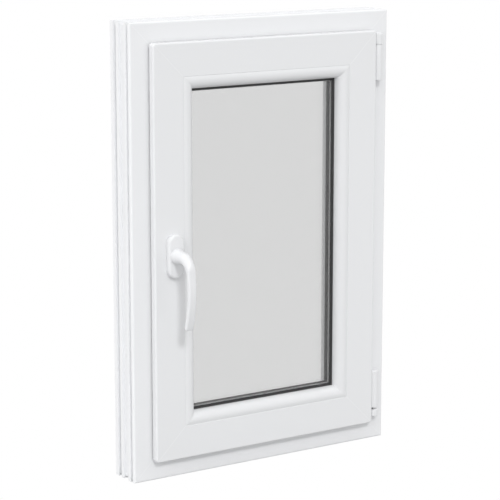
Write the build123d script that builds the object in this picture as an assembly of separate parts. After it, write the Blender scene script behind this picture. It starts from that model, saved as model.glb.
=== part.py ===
"""A white plastic basement window that turns and tilts inwards: a welded outer frame, a welded sash with
clipped-in glazing beads around a double-glazed unit, concealed gear with two visible hinges on the right
side, and a lever handle on the left.

All sizes are in millimetres. +X is to the right as seen from the room, +Z is up, and the room side faces
-Y. The origin is on the middle rib of the frame's bottom face, half way along it.

Every bar of the window has a section drawn in two values. u is the distance inwards from the frame's outer
edge, and p is the height towards the room above the frame's front face, so what lies deeper is negative.
"""
import os
from math import radians, sqrt, tan

from build123d import *

# Whole window
WIDTH = 500.0
HEIGHT = 750.0
FRAME_DEPTH = 63.0

# Outer frame section
FRAME_FACE = 45.0          # height of the room-side block that the sash overlaps
FRAME_LIP_FACE = 66.0      # height of the outside lip that the sash closes against
FRAME_LIP_DEPTH = 16.0
FRAME_FRONT_ROUND = 3.0
FRAME_LIP_BEVEL = 5.0
SMALL_ROUND = 0.8

# Ribs and grooves on the frame's outer edge, from the outside face towards the room
BACK_RIB = 10.0
BACK_GROOVE = 9.0
MIDDLE_RIB = 7.5
FRONT_RIB = 7.0
NARROW_SLOT = 6.5
FACE_RIB = 6.5
BACK_GROOVE_DEEP = 5.0
WIDE_GROOVE_DEEP = 3.8
NARROW_SLOT_DEEP = 5.0

# Sash section
SASH_EDGE = 33.0           # where the sash starts, inwards from the frame's outer edge
SASH_PROUD = 16.0          # how far the sash face stands in front of the frame face
SASH_FLANGE = 12.0         # thickness of the flange that overlaps the frame
SASH_FRONT_ROUND = 3.0
SASH_CORNER_ROUND = 5.5    # the sash's four corners, seen from the room
SASH_INNER_ROUND = 0.6     # edge beside the bead
REBATE_GAP = 12.0          # air between frame and sash, where the gear runs
SASH_CLOSING_GAP = 4.0     # air between the sash's outside face and the frame's lip
GLASS_REBATE = 88.0        # floor of the glazing rebate, from the frame's outer edge
SASH_LIP_EDGE = 109.0
SASH_LIP_FLAT = 7.5        # straight part of the outside lip, seen through the glass
SASH_LIP_SLOPE = 5.0

# Glazing bead section
BEAD_NOSE = 109.2
BEAD_CREST_RISE = 0.8      # how far the bead's crest stands above the sash face
BEAD_FRONT_RADIUS = 14.2   # the quarter round from the crest down to the glass
BEAD_FOOT_WIDE = 4.0
BEAD_FOOT_DEEP = 8.0

# Glazing unit and its gaskets
GLASS_SINK = 1.0           # glass surface behind the frame face
PANE = 4.0
CAVITY = 12.0
GLASS_EDGE_GAP = 5.0
SPACER_EDGE = 13.4         # spacer bar inside the edge of the panes
SPACER_TALL = 8.0
BEAD_GASKET = 2.5          # thickness under the bead
BEAD_GASKET_LIP = 4.2      # how far the gasket shows past the bead
BEAD_GASKET_HIDDEN = 6.0
GASKET_LIP_EDGE = 0.6
OUTER_GASKET = 3.0
OUTER_GASKET_LIP = 2.5
OUTER_GASKET_HIDDEN = 8.0

# Closing gaskets between sash and frame
STOP_GASKET_WIDE = 6.0
STOP_GASKET_INSET = 4.0
LIP_GASKET_INSET = 2.0

# Hinges on the right side
HINGE_RADIUS = 7.0
HINGE_FROM_SASH = 8.2      # hinge axis to the sash's edge
HINGE_ABOVE_FRAME = 9.5
HINGE_END_BEVEL = 1.2
HINGE_CROWN_BEVEL = 3.0    # top end of the upper hinge
HINGE_SEAM_BEVEL = 0.3     # the two ends that meet within the upper hinge
HINGE_PIN_RADIUS = 3.0
HINGE_PIN_CLEARANCE = 0.05
HINGE_FOOT = 12.0
HINGE_FLANK_BACK = 5.0     # the flank beside the sash's edge, as heights above the frame face
HINGE_FLANK_FRONT = 11.5   # low enough for the sash's edge to turn past it
HINGE_SASH_GAP = 0.3       # between the frame's knuckles and the sash's edge
UPPER_HINGE_BELOW_TOP = 37.0
UPPER_HINGE_LENGTH = 81.0
UPPER_HINGE_SPLIT = 20.0   # length of the sash's eye above the frame's bearing
UPPER_HINGE_GAP = 0.3
UPPER_PIN_INSET = 7.0      # how far the pin ends inside the hinge's two ends
LOWER_HINGE_BOTTOM = 43.0
LOWER_BEARING = 12.5
LOWER_HINGE_GAP = 3.2
LOWER_BAND = 67.0
LOWER_PIN_INSET = 3.0
LOWER_PIN_IN_BAND = 34.0

# Handle
HANDLE_IN = 68.5           # handle axis, inwards from the frame's outer edge
ROSETTE_TALL = 72.0
ROSETTE_WIDE = 30.0
ROSETTE_THICK = 10.0
ROSETTE_BEVEL = 3.0
ROSETTE_SMALL_BEVEL = 0.9
COLLAR_RADIUS = 13.0
COLLAR_THICK = 1.2
NECK_SEAT_GAP = 0.3
STUB_RADIUS = 6.5
STUB_CLEARANCE = 0.08
SPINDLE = 7.0
SPINDLE_DEEP = 26.0        # how far the spindle reaches into the sash
SPINDLE_HOLE_RADIUS = 6.0
SPINDLE_HOLE_DEEP = 30.0
NECK_ROOT = 25.0           # diameter where the neck meets the rosette
NECK_WAIST = 19.5          # diameter where the neck starts to bend
BEND_START_REACH = 29.0    # all reaches are heights above the sash face
BEND_RADIUS = 24.0
BEND_MIDDLE_WIDE = 17.0
BEND_MIDDLE_THICK = 18.0
BEND_TURN = 81.0           # degrees; the grip then leans outwards by the rest of a right angle
GRIP_LENGTH = 113.0        # handle axis to the tip
GRIP_TIP_REACH = 44.2
GRIP_WIDE = 14.0
GRIP_THICK = 8.5
GRIP_EDGE_ROUND = 2.6
GRIP_TIP_BEVEL = 1.8
NECK_ROUND_SHARE = 0.42    # corner radius of the neck's sections, as a share of their width

# Cuts that touch a corner's round, as shares of its radius
FIRST_CUT = 2 - sqrt(2)
SECOND_CUT = tan(radians(22.5)) - tan(radians(11.25))

# Covers over the drain slots, on the outside of the sill
DRAIN_CAP_WIDE = 42.0
DRAIN_CAP_TALL = 15.0
DRAIN_CAP_THICK = 4.0
DRAIN_CAP_WALL = 1.5
DRAIN_CAP_FROM_SIDE = 110.0
DRAIN_CAP_HEIGHT = 22.0
DRAIN_SLOT_WIDE = 26.0
DRAIN_SLOT_TALL = 6.0
DRAIN_SLOT_DEEP = 7.0

# Places worked out from the sizes above
MITRE_REACH = WIDTH / 4    # further in than any section
HANDLE_HEIGHT = HEIGHT / 2
UPPER_HINGE_TOP = HEIGHT - UPPER_HINGE_BELOW_TOP
WIDE_GROOVE = FRAME_DEPTH - BACK_RIB - BACK_GROOVE - MIDDLE_RIB - FRONT_RIB - NARROW_SLOT - FACE_RIB
MIDDLE_RIB_CENTRE = BACK_RIB + BACK_GROOVE + MIDDLE_RIB / 2
Y_BACK = MIDDLE_RIB_CENTRE
Y_FRONT = Y_BACK - FRAME_DEPTH
SASH_OUTER = FRAME_FACE + REBATE_GAP
SASH_FLANGE_BACK = SASH_PROUD - SASH_FLANGE
FRAME_LIP_FRONT = -FRAME_DEPTH + FRAME_LIP_DEPTH
SASH_BACK = FRAME_LIP_FRONT + SASH_CLOSING_GAP
GLASS_EDGE = GLASS_REBATE + GLASS_EDGE_GAP
GLASS_BACK = -GLASS_SINK - 2 * PANE - CAVITY
BEAD_UNDERSIDE = -GLASS_SINK + BEAD_GASKET
HANDLE_X = -WIDTH / 2 + HANDLE_IN
HINGE_X = WIDTH / 2 - SASH_EDGE + HINGE_FROM_SASH
HINGE_Y = Y_FRONT - HINGE_ABOVE_FRAME
SASH_FACE_Y = Y_FRONT - SASH_PROUD

# Each side: its corner, the way inwards and the way along, which turn round the window
SIDES = {
    "bottom": ((-WIDTH / 2, 0.0), (0, 0, 1), (1, 0, 0), WIDTH),
    "right": ((WIDTH / 2, 0.0), (-1, 0, 0), (0, 0, 1), HEIGHT),
    "top": ((WIDTH / 2, HEIGHT), (0, 0, -1), (-1, 0, 0), WIDTH),
    "left": ((-WIDTH / 2, HEIGHT), (1, 0, 0), (0, 0, -1), HEIGHT),
}


def section(*points):
    """A closed straight-sided section through points (u, p)."""
    return make_face(Polyline(*points, close=True))


def corner_at(face, u, p):
    """The corner of a section at (u, p)."""
    return face.vertices().sort_by_distance((u, p, 0))[0]


def mitre_wedge(side):
    """All that belongs to one side of the window, cut off at 45 degrees at both ends."""
    (x, z), inwards, along, length = SIDES[side]
    wedge = section((0, 0), (length, 0), (length - MITRE_REACH, MITRE_REACH), (MITRE_REACH, MITRE_REACH))
    plane = Plane(origin=(x, Y_FRONT, z), x_dir=along, z_dir=(0, -1, 0))
    return extrude(plane * wedge, 2 * FRAME_DEPTH, both=True)


def bar(face, side):
    """The section run along one side of the window, with square ends."""
    (x, z), inwards, along, length = SIDES[side]
    return extrude(Plane(origin=(x, Y_FRONT, z), x_dir=inwards, z_dir=along) * face, length)


def mitred_bar(face, side):
    """The section run along one side of the window and mitred at both ends."""
    return bar(face, side) & mitre_wedge(side)


def ring(face):
    """The section run round all four sides as one piece."""
    bottom, right, top, left = [mitred_bar(face, side) for side in SIDES]
    return bottom + right + top + left


def frame_section():
    """Outer frame: a room-side block, an outside lip, and ribs and grooves on the outer edge."""
    back = -FRAME_DEPTH
    rib_1 = back + BACK_RIB
    rib_2 = rib_1 + BACK_GROOVE
    rib_3 = rib_2 + MIDDLE_RIB
    rib_4 = rib_3 + WIDE_GROOVE
    slot = rib_4 + FRONT_RIB
    face = section(
        (0, 0), (FRAME_FACE, 0), (FRAME_FACE, FRAME_LIP_FRONT), (FRAME_LIP_FACE, FRAME_LIP_FRONT),
        (FRAME_LIP_FACE, back + FRAME_LIP_BEVEL), (FRAME_LIP_FACE - FRAME_LIP_BEVEL, back), (0, back),
        (0, rib_1), (BACK_GROOVE_DEEP, rib_1), (BACK_GROOVE_DEEP, rib_2), (0, rib_2),
        (0, rib_3), (WIDE_GROOVE_DEEP, rib_3), (WIDE_GROOVE_DEEP, rib_4), (0, rib_4),
        (0, slot), (NARROW_SLOT_DEEP, slot), (NARROW_SLOT_DEEP, slot + NARROW_SLOT), (0, slot + NARROW_SLOT),
    )
    face = fillet(corner_at(face, 0, 0), FRAME_FRONT_ROUND)
    return fillet([corner_at(face, 0, back), corner_at(face, FRAME_LIP_FACE, FRAME_LIP_FRONT)], SMALL_ROUND)


def sash_section():
    """Sash: an overlapping flange, a body and an outside lip that the glass rests against."""
    lip_front = GLASS_BACK - OUTER_GASKET
    face = section(
        (SASH_EDGE, SASH_PROUD), (GLASS_REBATE, SASH_PROUD), (GLASS_REBATE, lip_front),
        (SASH_LIP_EDGE, lip_front), (SASH_LIP_EDGE, lip_front - SASH_LIP_FLAT),
        (SASH_LIP_EDGE - SASH_LIP_SLOPE, SASH_BACK), (SASH_OUTER, SASH_BACK),
        (SASH_OUTER, SASH_FLANGE_BACK), (SASH_EDGE, SASH_FLANGE_BACK),
    )
    face = fillet(corner_at(face, GLASS_REBATE, SASH_PROUD), SASH_INNER_ROUND)
    return fillet(corner_at(face, SASH_LIP_EDGE, lip_front), SMALL_ROUND)


def bead_section():
    """Glazing bead: a small swell beside the sash, a crest, and a quarter round down to the glass."""
    crest = (BEAD_NOSE - BEAD_FRONT_RADIUS, SASH_PROUD + BEAD_CREST_RISE)
    valley = (GLASS_REBATE, SASH_PROUD - SASH_INNER_ROUND)
    nose_top = (BEAD_NOSE, crest[1] - BEAD_FRONT_RADIUS)
    foot = -GLASS_SINK - BEAD_FOOT_DEEP
    foot_inner = GLASS_REBATE + BEAD_FOOT_WIDE
    outline = [
        TangentArc(crest, valley, tangent=(-1, 0)),
        TangentArc(crest, nose_top, tangent=(1, 0)),
        Polyline(nose_top, (BEAD_NOSE, BEAD_UNDERSIDE), (foot_inner, BEAD_UNDERSIDE), (foot_inner, foot),
                 (GLASS_REBATE, foot), valley),
    ]
    return make_face(outline)


def bead_gasket_section():
    """Gasket under the bead, with a thin lip that lies on the glass."""
    glass = -GLASS_SINK
    start = BEAD_NOSE - BEAD_GASKET_HIDDEN
    tip = BEAD_NOSE + BEAD_GASKET_LIP
    return section((start, glass), (tip, glass), (tip, glass + GASKET_LIP_EDGE),
                   (BEAD_NOSE, BEAD_UNDERSIDE), (start, BEAD_UNDERSIDE))


def outer_gasket_section():
    """Gasket between the outer pane and the sash's outside lip."""
    start = SASH_LIP_EDGE - OUTER_GASKET_HIDDEN
    tip = SASH_LIP_EDGE + OUTER_GASKET_LIP
    back = GLASS_BACK - OUTER_GASKET
    return section((start, GLASS_BACK), (tip, GLASS_BACK), (tip, GLASS_BACK - GASKET_LIP_EDGE),
                   (SASH_LIP_EDGE - SMALL_ROUND, back), (start, back))


def stop_gasket_section():
    """Gasket on the back of the sash's flange, which closes on the frame's front face."""
    start = SASH_EDGE + STOP_GASKET_INSET
    end = start + STOP_GASKET_WIDE
    return section((start, 0), (end, 0), (end, SASH_FLANGE_BACK), (start, SASH_FLANGE_BACK))


def lip_gasket_section():
    """Gasket on the frame's outside lip, which the sash's outside face closes on."""
    end = FRAME_LIP_FACE - LIP_GASKET_INSET
    start = end - STOP_GASKET_WIDE
    return section((start, FRAME_LIP_FRONT), (end, FRAME_LIP_FRONT), (end, SASH_BACK), (start, SASH_BACK))


def spacer_section():
    """Spacer bar between the two panes."""
    start = GLASS_EDGE + SPACER_EDGE
    front = -GLASS_SINK - PANE
    return section((start, front), (start + SPACER_TALL, front),
                   (start + SPACER_TALL, front - CAVITY), (start, front - CAVITY))


def pane(front):
    """One sheet of glass whose room side is at height front."""
    wide = WIDTH - 2 * GLASS_EDGE
    tall = HEIGHT - 2 * GLASS_EDGE
    return Pos(0, Y_FRONT - front + PANE / 2, HEIGHT / 2) * Box(wide, PANE, tall)


def drain_x(side):
    """Middle of one drain slot."""
    return side * (WIDTH / 2 - DRAIN_CAP_FROM_SIDE)


def frame_bars():
    """The four welded bars of the outer frame, with the drain slots cut in the sill."""
    face = frame_section()
    bars = {side: mitred_bar(face, side) for side in SIDES}
    for side in (-1, 1):
        slot = Box(DRAIN_SLOT_WIDE, DRAIN_SLOT_DEEP, DRAIN_SLOT_TALL)
        bars["bottom"] -= Pos(drain_x(side), Y_BACK - DRAIN_SLOT_DEEP / 2, DRAIN_CAP_HEIGHT) * slot
    return {"frame_sill": bars["bottom"], "frame_right_jamb": bars["right"],
            "frame_head": bars["top"], "frame_left_jamb": bars["left"]}


def sash_ring():
    """The whole sash, with its outer corners and then its front edge rounded."""
    sash = ring(sash_section())
    corners = [edge for edge in sash.edges().filter_by(Axis.Y)
               if abs(abs(edge.center().X) - (WIDTH / 2 - SASH_EDGE)) < SMALL_ROUND]
    sash = fillet(corners, SASH_CORNER_ROUND)
    front = sash.faces().filter_by(Axis.Y).sort_by(Axis.Y)[0]
    return fillet(front.outer_wire().edges(), SASH_FRONT_ROUND)


def sash_bars():
    """The four welded bars of the sash, with the handle's hole in the left stile."""
    sash = sash_ring()
    bars = {side: sash & mitre_wedge(side) for side in SIDES}
    hole = Cylinder(SPINDLE_HOLE_RADIUS, SPINDLE_HOLE_DEEP * 2)
    bars["left"] -= Pos(HANDLE_X, SASH_FACE_Y, HANDLE_HEIGHT) * Rot(90, 0, 0) * hole
    return {"sash_bottom_rail": bars["bottom"], "sash_right_stile": bars["right"],
            "sash_top_rail": bars["top"], "sash_left_stile": bars["left"]}


def glazing_beads():
    """The four clipped-in glazing beads."""
    face = bead_section()
    return {f"glazing_bead_{side}": mitred_bar(face, side) for side in SIDES}


def barrel(bottom, length, lower_bevel=HINGE_END_BEVEL, upper_bevel=HINGE_END_BEVEL):
    """One knuckle of a hinge with bevelled ends."""
    knuckle = Pos(HINGE_X, HINGE_Y, bottom + length / 2) * Cylinder(HINGE_RADIUS, length)
    lower = knuckle.edges().filter_by(GeomType.CIRCLE).sort_by(Axis.Z)[0]
    knuckle = chamfer(lower, lower_bevel)
    upper = knuckle.edges().filter_by(GeomType.CIRCLE).sort_by(Axis.Z)[-1]
    return chamfer(upper, upper_bevel)


def pin_bore(bottom, length):
    """The clearance bore for a hinge pin."""
    bore = Cylinder(HINGE_PIN_RADIUS + HINGE_PIN_CLEARANCE, length)
    return Pos(HINGE_X, HINGE_Y, bottom + length / 2) * bore


def frame_foot(bottom, length):
    """The foot that carries a knuckle on the frame's front face."""
    tall = length - 2 * HINGE_END_BEVEL
    foot = Box(HINGE_FOOT, HINGE_ABOVE_FRAME, tall)
    return Pos(HINGE_X, Y_FRONT - HINGE_ABOVE_FRAME / 2, bottom + length / 2) * foot


def hinge_flank(bottom, length, gap):
    """The flat side of a knuckle's cover, which fills the space to the sash's edge up to a gap."""
    tall = length - 2 * HINGE_END_BEVEL
    wide = HINGE_FROM_SASH - gap
    deep = HINGE_FLANK_FRONT - HINGE_FLANK_BACK
    middle_y = Y_FRONT - (HINGE_FLANK_FRONT + HINGE_FLANK_BACK) / 2
    return Pos(HINGE_X - wide / 2, middle_y, bottom + length / 2) * Box(wide, deep, tall)


def frame_knuckle(bottom, length, **bevels):
    """A knuckle that stands on the frame, just clear of the sash."""
    knuckle = barrel(bottom, length, **bevels) + frame_foot(bottom, length)
    return knuckle + hinge_flank(bottom, length, HINGE_SASH_GAP)


def sash_knuckle(bottom, length, **bevels):
    """A knuckle that is fixed to the sash's edge."""
    return barrel(bottom, length, **bevels) + hinge_flank(bottom, length, 0)


def hinge_pin(bottom, length):
    """A plain hinge pin."""
    return Pos(HINGE_X, HINGE_Y, bottom + length / 2) * Cylinder(HINGE_PIN_RADIUS, length)


def upper_hinge():
    """Upper hinge: the frame's bearing below, the stay arm's eye above, and their pin."""
    bottom = UPPER_HINGE_TOP - UPPER_HINGE_LENGTH
    eye_bottom = UPPER_HINGE_TOP - UPPER_HINGE_SPLIT
    bearing_length = UPPER_HINGE_LENGTH - UPPER_HINGE_SPLIT - UPPER_HINGE_GAP
    pin_bottom = bottom + UPPER_PIN_INSET
    pin_length = UPPER_HINGE_LENGTH - 2 * UPPER_PIN_INSET
    bore = pin_bore(pin_bottom, pin_length)
    bearing = frame_knuckle(bottom, bearing_length, upper_bevel=HINGE_SEAM_BEVEL)
    eye = sash_knuckle(eye_bottom, UPPER_HINGE_SPLIT, lower_bevel=HINGE_SEAM_BEVEL,
                       upper_bevel=HINGE_CROWN_BEVEL)
    return {"upper_hinge_bearing": bearing - bore, "upper_hinge_eye": eye - bore,
            "upper_hinge_pin": hinge_pin(pin_bottom, pin_length)}


def lower_hinge():
    """Lower hinge: the frame's corner bearing below, the sash's band above, and their pin."""
    band_bottom = LOWER_HINGE_BOTTOM + LOWER_BEARING + LOWER_HINGE_GAP
    pin_bottom = LOWER_HINGE_BOTTOM + LOWER_PIN_INSET
    pin_length = band_bottom + LOWER_PIN_IN_BAND - pin_bottom
    bore = pin_bore(pin_bottom, pin_length)
    bearing = frame_knuckle(LOWER_HINGE_BOTTOM, LOWER_BEARING)
    band = sash_knuckle(band_bottom, LOWER_BAND)
    return {"lower_hinge_bearing": bearing - bore, "lower_hinge_band": band - bore,
            "lower_hinge_pin": hinge_pin(pin_bottom, pin_length)}


def handle_plane(reach):
    """A plane across the handle's axis at a height above the sash face, facing the room."""
    return Plane(origin=(HANDLE_X, SASH_FACE_Y - reach, HANDLE_HEIGHT), x_dir=(1, 0, 0), z_dir=(0, -1, 0))


def handle_rosette():
    """The handle's base plate: a round-ended plate with a low collar and a bore for the lever's stub."""
    outline = SlotOverall(ROSETTE_TALL, ROSETTE_WIDE, rotation=90)
    plate = extrude(handle_plane(0) * outline, ROSETTE_THICK)
    front = plate.faces().sort_by(Axis.Y)[0]
    plate = chamfer(front.edges(), ROSETTE_BEVEL)
    front = plate.faces().sort_by(Axis.Y)[0]
    plate = chamfer(front.edges(), ROSETTE_SMALL_BEVEL)
    collar = extrude(handle_plane(ROSETTE_THICK) * Circle(COLLAR_RADIUS), COLLAR_THICK)
    bore = extrude(handle_plane(0) * Circle(STUB_RADIUS + STUB_CLEARANCE), ROSETTE_THICK + COLLAR_THICK)
    return plate + collar - bore


def broken_rectangle(wide, thick, radius):
    """A rectangle whose corners follow a radius with three short flats each."""
    octagon = chamfer(Rectangle(wide, thick).vertices(), radius * FIRST_CUT)
    return chamfer(octagon.vertices(), radius * SECOND_CUT)


def across(path, along):
    """The plane across the lever's middle line."""
    return Plane(origin=path @ along, x_dir=(1, 0, 0), z_dir=path % along)


def changing_stretch(path, *faces):
    """A stretch of the lever that changes through evenly spaced sections."""
    steps = len(faces) - 1
    sections = [across(path, step / steps) * face for step, face in enumerate(faces)]
    return sweep(sections, path=path, multisection=True)


def handle_lever():
    """The lever: a stub in the rosette, a tapered round neck, a bend and a bowed grip."""
    origin = (HANDLE_X, SASH_FACE_Y, HANDLE_HEIGHT)
    upright = Plane(origin=origin, x_dir=(0, -1, 0), z_dir=(-1, 0, 0))
    neck = Line((ROSETTE_THICK + COLLAR_THICK + NECK_SEAT_GAP, 0), (BEND_START_REACH, 0))
    bend = JernArc(start=neck @ 1, tangent=neck % 1, radius=BEND_RADIUS, arc_size=-BEND_TURN)
    grip = TangentArc(bend @ 1, (GRIP_TIP_REACH, -GRIP_LENGTH), tangent=bend % 1)
    neck, bend, grip = upright * neck, upright * bend, upright * grip
    root = broken_rectangle(NECK_ROOT, NECK_ROOT, NECK_ROOT * NECK_ROUND_SHARE)
    waist = broken_rectangle(NECK_WAIST, NECK_WAIST, NECK_WAIST * NECK_ROUND_SHARE)
    middle = broken_rectangle(BEND_MIDDLE_WIDE, BEND_MIDDLE_THICK, BEND_MIDDLE_WIDE * NECK_ROUND_SHARE)
    oval = broken_rectangle(GRIP_WIDE, GRIP_THICK, GRIP_EDGE_ROUND)
    lever = changing_stretch(neck, root, waist) + changing_stretch(bend, waist, middle, oval)
    lever += sweep(across(grip, 0) * oval, path=grip)
    end = lever.faces().sort_by(Axis.Z)[0]
    lever = chamfer(end.edges(), GRIP_TIP_BEVEL)
    stub_length = ROSETTE_THICK + COLLAR_THICK
    return lever + extrude(handle_plane(NECK_SEAT_GAP) * Circle(STUB_RADIUS), stub_length)


def handle_spindle():
    """The square spindle that the lever turns in the gear."""
    square = Rectangle(SPINDLE, SPINDLE)
    return extrude(handle_plane(-SPINDLE_DEEP) * square, SPINDLE_DEEP + NECK_SEAT_GAP)


def drain_cap(side):
    """A hooded cover over one drain slot, open at its lower edge."""
    shell = Box(DRAIN_CAP_WIDE, DRAIN_CAP_THICK, DRAIN_CAP_TALL)
    hollow_wide = DRAIN_CAP_WIDE - 2 * DRAIN_CAP_WALL
    hollow_deep = DRAIN_CAP_THICK - DRAIN_CAP_WALL
    hollow = Box(hollow_wide, hollow_deep, DRAIN_CAP_TALL)
    cap = shell - Pos(0, -DRAIN_CAP_WALL / 2, -DRAIN_CAP_WALL) * hollow
    return Pos(drain_x(side), Y_BACK + DRAIN_CAP_THICK / 2, DRAIN_CAP_HEIGHT) * cap


def window():
    """Every piece of the window by name."""
    pieces = {}
    pieces.update(frame_bars())
    pieces.update(sash_bars())
    pieces.update(glazing_beads())
    pieces["glass_inner_pane"] = pane(-GLASS_SINK)
    pieces["glass_outer_pane"] = pane(-GLASS_SINK - PANE - CAVITY)
    pieces["glass_spacer_bar"] = ring(spacer_section())
    pieces["bead_gasket"] = ring(bead_gasket_section())
    pieces["outer_glazing_gasket"] = ring(outer_gasket_section())
    pieces["sash_stop_gasket"] = ring(stop_gasket_section())
    pieces["frame_lip_gasket"] = ring(lip_gasket_section())
    pieces.update(upper_hinge())
    pieces.update(lower_hinge())
    pieces["handle_rosette"] = handle_rosette()
    pieces["handle_lever"] = handle_lever()
    pieces["handle_spindle"] = handle_spindle()
    pieces["drain_cap_left"] = drain_cap(-1)
    pieces["drain_cap_right"] = drain_cap(1)
    return pieces


os.makedirs("parts", exist_ok=True)
for name, piece in window().items():
    export_step(piece, f"parts/{name}.step")
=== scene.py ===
"""Dresses the basement window: finishes for every piece of the frame, and the fine pieces round the glass, the
hinges, the handle and the drain slots, with a white studio stage and the camera.

Everything is in metres, in the part's own frame: +X to the right as seen from the room, +Z up, and the room
side faces -Y. A grain is how many grains a metre holds, and a depth is what a bump of height 1 stands for.
"""
import logging
import math
from dataclasses import dataclass
from enum import Enum
from typing import Any, Callable

import bmesh
import bpy
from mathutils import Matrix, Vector


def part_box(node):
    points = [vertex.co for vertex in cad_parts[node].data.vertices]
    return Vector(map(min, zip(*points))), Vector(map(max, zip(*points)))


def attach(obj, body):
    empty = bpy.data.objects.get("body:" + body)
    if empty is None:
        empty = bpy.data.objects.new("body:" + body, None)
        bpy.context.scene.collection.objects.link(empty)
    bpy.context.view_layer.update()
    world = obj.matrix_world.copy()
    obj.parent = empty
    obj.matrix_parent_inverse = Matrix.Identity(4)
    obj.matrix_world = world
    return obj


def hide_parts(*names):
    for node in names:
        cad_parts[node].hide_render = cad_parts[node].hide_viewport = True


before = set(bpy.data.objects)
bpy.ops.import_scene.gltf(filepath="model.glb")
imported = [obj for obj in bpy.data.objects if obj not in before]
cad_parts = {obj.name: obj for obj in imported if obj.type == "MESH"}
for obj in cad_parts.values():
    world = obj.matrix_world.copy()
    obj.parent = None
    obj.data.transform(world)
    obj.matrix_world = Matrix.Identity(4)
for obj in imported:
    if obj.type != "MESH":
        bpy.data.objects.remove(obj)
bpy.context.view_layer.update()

MM = 0.001
RIGHT = Vector((1.0, 0.0, 0.0))
OUTSIDE = Vector((0.0, 1.0, 0.0))
UP = Vector((0.0, 0.0, 1.0))
FACING = 0.9
SHARP_EDGE = math.radians(30)
SHADED_EDGE = math.radians(35)
Colour = tuple[float, float, float, float]
Grain = tuple[float, float, float]

logging.basicConfig(level=logging.INFO, format="%(message)s")
log = logging.getLogger("window")


class Run(Enum):
    """The way that a profile runs."""

    ACROSS = "across"
    UPRIGHT = "upright"


class Element(Enum):
    """What is selected in edit mode."""

    POINT = "VERT"
    EDGE = "EDGE"
    FACE = "FACE"


class Signal:
    """A number that varies over a surface, with Python's operators as shader maths."""

    def __init__(self, recipe: "Recipe", socket: bpy.types.NodeSocket) -> None:
        """Keeps the recipe and the socket that carries the number."""
        self.recipe = recipe
        self.socket = socket

    def maths(self, operation: str, *values: Any) -> "Signal":
        """Adds one Math node.

        Args:
            operation: Blender's name for the operation.
            values: The node's inputs, in order.

        Returns:
            The node's result.
        """
        inputs = dict(enumerate(values))
        made = self.recipe.node("ShaderNodeMath", {"operation": operation}, inputs)
        return Signal(self.recipe, made.outputs[0])

    def __add__(self, other: Any) -> "Signal":
        """This plus other."""
        return self.maths("ADD", self, other)

    __radd__ = __add__

    def __mul__(self, other: Any) -> "Signal":
        """This times other."""
        return self.maths("MULTIPLY", self, other)

    __rmul__ = __mul__

    def __sub__(self, other: Any) -> "Signal":
        """This less other."""
        return self.maths("SUBTRACT", self, other)

    def __rsub__(self, other: Any) -> "Signal":
        """Other less this."""
        return self.maths("SUBTRACT", other, self)

    def __truediv__(self, other: Any) -> "Signal":
        """This over other."""
        return self.maths("DIVIDE", self, other)

    def __rtruediv__(self, other: Any) -> "Signal":
        """Other over this."""
        return self.maths("DIVIDE", other, self)

    def __abs__(self) -> "Signal":
        """This without its sign."""
        return self.maths("ABSOLUTE", self)

    def clipped(self) -> "Signal":
        """This kept between 0 and 1."""
        return self.maths("MINIMUM", self.maths("MAXIMUM", self, 0.0), 1.0)

    def fraction(self) -> "Signal":
        """What is left of this after the whole number."""
        return self.maths("FRACT", self)


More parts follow.
